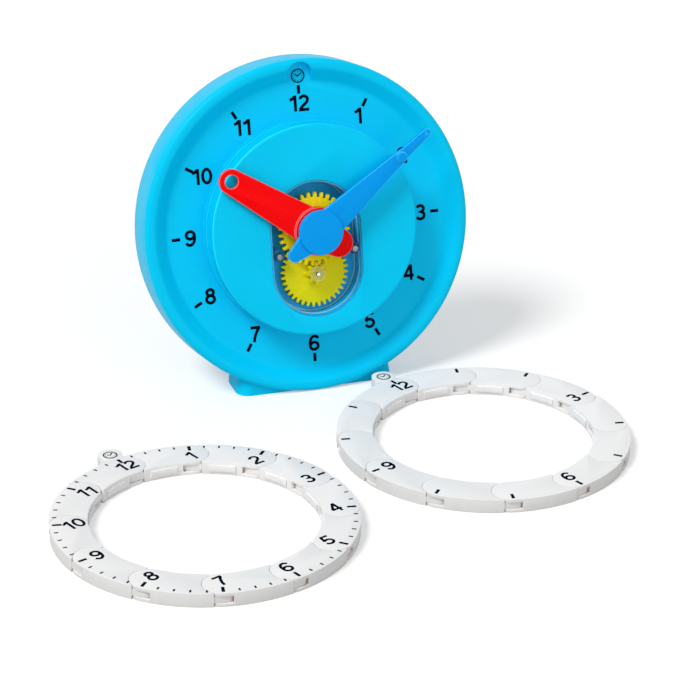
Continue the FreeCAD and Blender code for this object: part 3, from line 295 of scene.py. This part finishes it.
def cleaned_mesh(node):
    """A copy of a CAD node's mesh with its seams joined and its flat faces whole."""
    mesh = nodes[node].data.copy()
    work = bmesh.new()
    work.from_mesh(mesh)
    bmesh.ops.remove_doubles(work, verts=work.verts, dist=SEAM_GAP)
    bmesh.ops.dissolve_limit(work, angle_limit=FLAT_ANGLE, verts=work.verts, edges=work.edges)
    for face in work.faces:
        face.smooth = True
    work.to_mesh(mesh)
    work.free()
    mesh.materials.clear()
    return mesh


def catch_light(mesh, bands):
    """Paint a highlight, the lighter edge material, on faces in bands of (radius, height) pairs round the
    hands' axis.
    """
    for face in mesh.polygons:
        away = (face.center - DIAL_CENTRE) / MM
        height = away.dot(DIAL_OUT)
        radius = (away - DIAL_OUT * height).length
        for radii, heights in bands:
            if radii[0] < radius < radii[1] and heights[0] < height < heights[1]:
                face.material_index = 1


def shade_walls(mesh, ring):
    """Paint shade on a ring segment's outer walls with a greyer copy of the ring's white."""
    mesh.materials.append(WHITE_WALL_SHADE)
    x, y = RING_CENTRES[ring]
    middle = Vector((x, y, 0)) * MM
    for face in mesh.polygons:
        upright = abs(face.normal.z) < WALL_RISE
        outward = face.normal.dot(face.center - middle) > 0
        face.material_index = 2 if upright and outward else 0


def softened(node, width, finish):
    """A CAD piece with its sharp edges rounded, and a painted highlight on the rounding."""
    made = bpy.data.objects.new(node + "_soft", cleaned_mesh(node))
    scene.collection.objects.link(made)
    made.data.materials.append(finish)
    made.data.materials.append(EDGE_HIGHLIGHTS.get(finish, finish))
    if finish is WHITE:
        shade_walls(made.data, node[:-3])
    if node == "front_case":
        catch_light(made.data, DISC_HIGHLIGHT_BANDS)
    bevel = made.modifiers.new("rounded_edges", "BEVEL")
    bevel.width = width * MM
    bevel.segments = EDGE_SEGMENTS
    bevel.limit_method = "ANGLE"
    bevel.angle_limit = SHARP_ANGLE
    bevel.miter_outer = "MITER_ARC"
    bevel.harden_normals = True
    # The bevel's faces take slot 1, the painted highlight.
    bevel.material = 1
    finish_piece(made, node)


def window():
    """The clear cover: a see-through pane whose bevelled edges carry a painted highlight and painted
    refraction, lighter and more opaque.
    """
    mesh = cleaned_mesh("gear_window")
    mesh.materials.append(PANE)
    mesh.materials.append(PANE_EDGE_GLINT)
    for face in mesh.polygons:
        face.use_smooth = False
        # Faces that don't face out are the bevels, which take the painted glint.
        facing = abs(face.normal.dot(DIAL_OUT))
        face.material_index = 0 if facing > PANE_FACING else 1
    made = bpy.data.objects.new("gear_window_clear", mesh)
    scene.collection.objects.link(made)
    finish_piece(made, "gear_window")


def bead(name, path, front, radius, finish):
    """A thin rounded bead along a closed path in the dial's plane, at a height above the recess."""
    curve = bpy.data.curves.new(name, "CURVE")
    curve.dimensions = "3D"
    curve.bevel_depth = radius * MM
    curve.bevel_resolution = 3
    spline = curve.splines.new("POLY")
    spline.points.add(len(path) - 1)
    for point, (x, y) in zip(spline.points, path):
        place = DIAL_CENTRE + (DIAL_RIGHT * x + DIAL_UP * y + DIAL_OUT * front) * MM
        point.co = (*place, 1)
    spline.use_cyclic_u = True
    curve.materials.append(finish)
    made = bpy.data.objects.new(name, curve)
    scene.collection.objects.link(made)
    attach(made, "case")


def tray_bead(name, inset, front, radius):
    """A bead of painted highlight round the inside of the gear tray."""
    half = TRAY_HALF - inset
    path = arc(0, TRAY_TOP, half, half, 0, 180, 40) + arc(0, TRAY_BOTTOM, half, half, 180, 360, 40)
    bead(name, path, front, radius, TRAY_BEAD_HIGHLIGHT)


def reach(node, direction):
    """The lowest and highest place of a node along a direction of the dial, in millimetres."""
    places = [(vertex.co - DIAL_CENTRE).dot(direction) / MM for vertex in nodes[node].data.vertices]
    return min(places), max(places)


def clear_rings():
    """The clear bearing at the front end of the idler's axle, and the bosses of the screws."""
    back = reach("gear_window", DIAL_OUT)[1] - WINDOW_PLATE
    axle_y = sum(reach("idler_axle", DIAL_UP)) / 2
    for number, (radius, thick) in enumerate(BEARING_RINGS, 1):
        path = arc(0, axle_y, radius, radius, 0, 360, 48)[:-1]
        bead("bearing_ring_%d" % number, path, back, thick, BEARING)
    screw_x = reach("window_screws", DIAL_RIGHT)[1] - SCREW_HEAD
    screw_y = sum(reach("window_screws", DIAL_UP)) / 2
    for side, x in (("left", -screw_x), ("right", screw_x)):
        path = arc(x, screw_y, BOSS_RADIUS, BOSS_RADIUS, 0, 360, 40)[:-1]
        bead("screw_boss_" + side, path, back - BOSS_THICK, BOSS_THICK, BOSS)


# Digits as strokes in a box of height 1. A stroke whose ends meet is closed.
SIX = [arc(0.315, 0.305, 0.235, 0.2325, 0, 360, 28),
       [(0.08, 0.3), (0.073, 0.4)] + arc(0.355, 0.50, 0.2825, 0.4275, 180, 40)]
DIGITS = {
    "0": [arc(0.31, 0.5, 0.2375, 0.4275, 0, 360, 32)],
    "1": [[(0.34, 0.0), (0.34, 1.0)], [(0.02, 0.735), (0.17, 0.79), (0.30, 0.93)]],
    "2": [arc(0.31, 0.70, 0.225, 0.2275, 170, -30)
          + [(0.44, 0.49), (0.33, 0.39), (0.20, 0.28), (0.12, 0.17), (0.085, 0.07)],
          [(0.0, 0.0725), (0.6, 0.0725)]],
    "3": [arc(0.30, 0.725, 0.205, 0.2025, 155, -90)[:-1] + arc(0.30, 0.30, 0.235, 0.2275, 88, -160)],
    "4": [[(0.46, 0.0), (0.46, 1.0)], [(0.44, 0.95), (0.05, 0.32)], [(0.0, 0.2975), (0.62, 0.2975)]],
    "5": [[(0.12, 0.9275), (0.56, 0.9275)], [(0.17, 0.96), (0.095, 0.44)],
          arc(0.295, 0.315, 0.25, 0.2425, 152, -158)],
    "6": SIX,
    "7": [[(0.02, 0.9275), (0.58, 0.9275)],
          [(0.55, 0.93), (0.42, 0.74), (0.31, 0.50), (0.24, 0.26), (0.205, 0.0)]],
    "8": [arc(0.31, 0.735, 0.195, 0.1925, 0, 360, 26), arc(0.31, 0.305, 0.235, 0.2325, 0, 360, 28)],
    "9": [[(DIGIT_WIDTH - x, 1 - y) for x, y in stroke] for stroke in SIX],
}


def offsets(points, width):
    """Both sides of a stroke of a width along points, with mitred corners."""
    closed = (Vector(points[0]) - Vector(points[-1])).length < 1e-6
    line = [Vector(point) for point in (points[:-1] if closed else points)]
    count = len(line)
    sides = []
    for index, point in enumerate(line):
        before = point - line[index - 1] if index or closed else line[1] - point
        after = line[(index + 1) % count] - point if index < count - 1 or closed else before
        before = before.normalized()
        after = after.normalized()
        normal = Vector((-(before + after).y, (before + after).x)).normalized()
        straight = Vector((-before.y, before.x))
        reach = width / 2 / max(normal.dot(straight), 0.5)
        sides.append((point + normal * reach, point - normal * reach))
    return sides, closed


class Print:
    """Ink on one body: thin closed prisms on a flat face."""

    def __init__(self, name, body, origin, right, up, out):
        self.name = name
        self.body = body
        self.axes = (origin, right, up, out)
        self.mesh = bmesh.new()

    def point(self, place, height):
        """A corner of the print, from its place on the face in millimetres."""
        origin, right, up, out = self.axes
        return self.mesh.verts.new(origin + (right * place[0] + up * place[1] + out * height) * MM)

    def stroke(self, points, width):
        """One stroke of ink."""
        sides, closed = offsets(points, width)
        rows = []
        for left, right in sides:
            rows.append([self.point(left, INK_PROUD), self.point(right, INK_PROUD),
                         self.point(right, -INK_PROUD), self.point(left, -INK_PROUD)])
        pairs = list(zip(rows, rows[1:] + rows[:1])) if closed else list(zip(rows, rows[1:]))
        for one, two in pairs:
            for corner in range(4):
                follower = (corner + 1) % 4
                self.mesh.faces.new((one[corner], one[follower], two[follower], two[corner]))
        if not closed:
            self.mesh.faces.new(rows[0])
            self.mesh.faces.new(rows[-1])

    def number(self, text, centre, height, weight):
        """A number whose middle is at a place on the face."""
        widths = [ONE_WIDTH if digit == "1" else DIGIT_WIDTH for digit in text]
        total = sum(widths) + DIGIT_GAP * (len(text) - 1)
        start = -total / 2
        across = height * DIGIT_STRETCH
        for digit, width in zip(text, widths):
            for stroke in DIGITS[digit]:
                points = [(centre[0] + (start + x) * across, centre[1] + (y - 0.5) * height)
                          for x, y in stroke]
                self.stroke(points, weight * height)
            start += width + DIGIT_GAP

    def tick(self, turn, radius, size):
        """A tick along the radius at an angle clockwise from twelve."""
        direction = Vector((math.sin(turn), math.cos(turn)))
        self.stroke([direction * (radius - size[0] / 2), direction * (radius + size[0] / 2)], size[1])

    def sign(self, centre, radius):
        """A small clock sign: a circle with two hands and dots."""
        x, y = centre
        self.stroke(arc(x, y, radius, radius, 0, 360, 40), SIGN_CIRCLE)
        self.stroke([(x + across * radius, y + along * radius) for across, along in SIGN_HANDS], SIGN_HAND)
        away = SIGN_DOT_RADIUS * radius
        for hour in range(12):
            turn = math.radians(30 * hour)
            dot_x = x + away * math.cos(turn)
            dot_y = y + away * math.sin(turn)
            self.stroke([(dot_x - SIGN_DOT / 2, dot_y), (dot_x + SIGN_DOT / 2, dot_y)], SIGN_DOT)

    def finish(self):
        """Turn the print into a piece that rides on its body."""
        bmesh.ops.recalc_face_normals(self.mesh, faces=self.mesh.faces)
        mesh = bpy.data.meshes.new(self.name)
        self.mesh.to_mesh(mesh)
        self.mesh.free()
        mesh.materials.append(INK)
        made = bpy.data.objects.new(self.name, mesh)
        scene.collection.objects.link(made)
        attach(made, self.body)


def polar(radius, turn):
    """A place on a face, by its radius and its angle clockwise from twelve."""
    return radius * math.sin(turn), radius * math.cos(turn)


def dial_print():
    """Numbers, ticks and the sign printed in the clock's recess."""
    ink = Print("dial_print", "case", DIAL_CENTRE, DIAL_RIGHT, DIAL_UP, DIAL_OUT)
    for hour in range(1, 13):
        turn = math.radians(30 * hour)
        number_radius = DIAL_TWELVE_RADIUS if hour == 12 else DIAL_NUMBER_RADIUS
        tick_radius = DIAL_TWELVE_TICK_RADIUS if hour == 12 else DIAL_TICK_RADIUS
        ink.number(str(hour), polar(number_radius, turn), DIGIT_HEIGHT, DIAL_STROKE)
        ink.tick(turn, tick_radius, DIAL_TICK)
    ink.sign((0, DIAL_SIGN_PLACE), SIGN_RADIUS)
    ink.finish()


def ring_print(ring, numbers, small_ticks):
    """Numbers and ticks on a ring's top, each segment's own on its own body."""
    x, y = RING_CENTRES[ring]
    origin = Vector((x, y, RING_TOP)) * MM
    up = Vector((math.cos(RING_TWELVE), math.sin(RING_TWELVE), 0))
    right = Vector((math.sin(RING_TWELVE), -math.cos(RING_TWELVE), 0))
    for hour in range(1, 13):
        body = "%s_%02d" % (ring, hour)
        ink = Print(body + "_print", body, origin, right, up, Vector((0, 0, 1)))
        turn = math.radians(30 * hour)
        if hour in numbers:
            number_radius = RING_TWELVE_RADIUS if hour == 12 else RING_NUMBER_RADIUS
            ink.number(str(hour), polar(number_radius, turn), DIGIT_HEIGHT, RING_STROKE)
        ink.tick(turn, RING_TICK_END - RING_TICK[0] / 2, RING_TICK)
        if small_ticks:
            for minute in range(1, 5):
                ink.tick(turn - math.radians(6 * minute), RING_TICK_END - RING_SMALL_TICK[0] / 2,
                         RING_SMALL_TICK)
        if hour == 12:
            ink.sign((0, RING_SIGN_PLACE), SIGN_RADIUS)
        ink.finish()


def stage():
    """A pale floor, white to the camera where it is lit, that keeps soft shadows."""
    bpy.ops.mesh.primitive_plane_add(size=FLOOR_SIZE)
    floor = bpy.context.object
    floor.name = "floor"
    made = bpy.data.materials.new("floor_paper")
    made.use_nodes = True
    tree = made.node_tree
    tree.nodes.clear()
    paper = tree.nodes.new("ShaderNodeBsdfDiffuse")
    bright = tree.nodes.new("ShaderNodeEmission")
    bright.inputs["Strength"].default_value = FLOOR_GLOW
    share = seen_directly(tree)
    paleness = blend_colour(tree, share, [FLOOR_BOUNCE] * 3, [FLOOR_PALE] * 3)
    tree.links.new(paleness, paper.inputs["Color"])
    part = tree.nodes.new("ShaderNodeMath")
    part.operation = "MULTIPLY"
    part.inputs[1].default_value = FLOOR_GLOW_SHARE
    tree.links.new(share, part.inputs[0])
    mix = tree.nodes.new("ShaderNodeMixShader")
    tree.links.new(part.outputs[0], mix.inputs["Fac"])
    tree.links.new(paper.outputs[0], mix.inputs[1])
    tree.links.new(bright.outputs[0], mix.inputs[2])
    out = tree.nodes.new("ShaderNodeOutputMaterial")
    tree.links.new(mix.outputs[0], out.inputs["Surface"])
    floor.data.materials.append(made)


def seen_directly(tree):
    """1 for camera, glossy and transmission rays, and 0 for the rays that light the object."""
    path = tree.nodes.new("ShaderNodeLightPath")
    total = path.outputs["Is Camera Ray"]
    for kind in ("Is Glossy Ray", "Is Transmission Ray"):
        either = tree.nodes.new("ShaderNodeMath")
        either.operation = "MAXIMUM"
        tree.links.new(total, either.inputs[0])
        tree.links.new(path.outputs[kind], either.inputs[1])
        total = either.outputs[0]
    return total


def surroundings():
    """An even pale studio round the object."""
    world = bpy.data.worlds.new("studio")
    world.use_nodes = True
    tree = world.node_tree
    background = tree.nodes["Background"]
    background.inputs["Color"].default_value = (1, 1, 1, 1)
    level = tree.nodes.new("ShaderNodeMapRange")
    level.inputs["To Min"].default_value = WORLD_LIGHT
    level.inputs["To Max"].default_value = 1.0
    tree.links.new(seen_directly(tree), level.inputs["Value"])
    tree.links.new(level.outputs["Result"], background.inputs["Strength"])
    scene.world = world


def sun(name, place, softness, strength):
    """A soft lamp so far away that its light is the same all over the floor."""
    data = bpy.data.lights.new(name, "SUN")
    data.angle = math.radians(softness)
    data.energy = strength
    made = bpy.data.objects.new(name, data)
    scene.collection.objects.link(made)
    made.rotation_euler = Vector(place).to_track_quat("Z", "Y").to_euler()


def camera():
    """The photograph's camera."""
    data = bpy.data.cameras.new("camera")
    data.lens = CAMERA_LENS
    data.sensor_width = SENSOR_WIDTH
    data.clip_end = VIEW_DEPTH
    made = bpy.data.objects.new("camera", data)
    scene.collection.objects.link(made)
    turn = (Matrix.Rotation(CAMERA_YAW, 4, "Z") @ Matrix.Rotation(-CAMERA_PITCH, 4, "X")
            @ Matrix.Rotation(CAMERA_ROLL, 4, "Y"))
    made.matrix_world = Matrix.Translation(CAMERA_PLACE) @ turn @ Matrix.Rotation(math.pi / 2, 4, "X")
    scene.camera = made


for name, node in nodes.items():
    node.data.materials.clear()
    node.data.materials.append(FINISHES.get(name, WHITE))
for name, width in EDGE_ROUNDS.items():
    softened(name, width, FINISHES[name])
for name in nodes:
    if name.startswith(("minute_ring", "hour_ring")):
        softened(name, RING_EDGE_ROUND, WHITE)
window()
dial_print()
ring_print("minute_ring", range(1, 13), True)
ring_print("hour_ring", (3, 6, 9, 12), False)

stage()
surroundings()
for name, (inset, front, radius) in TRAY_BEADS.items():
    tray_bead(name, inset, front, radius)
clear_rings()
sun("key", *KEY_SUN)
sun("fill", *FILL_SUN)
scene.view_settings.view_transform = "Standard"
camera()
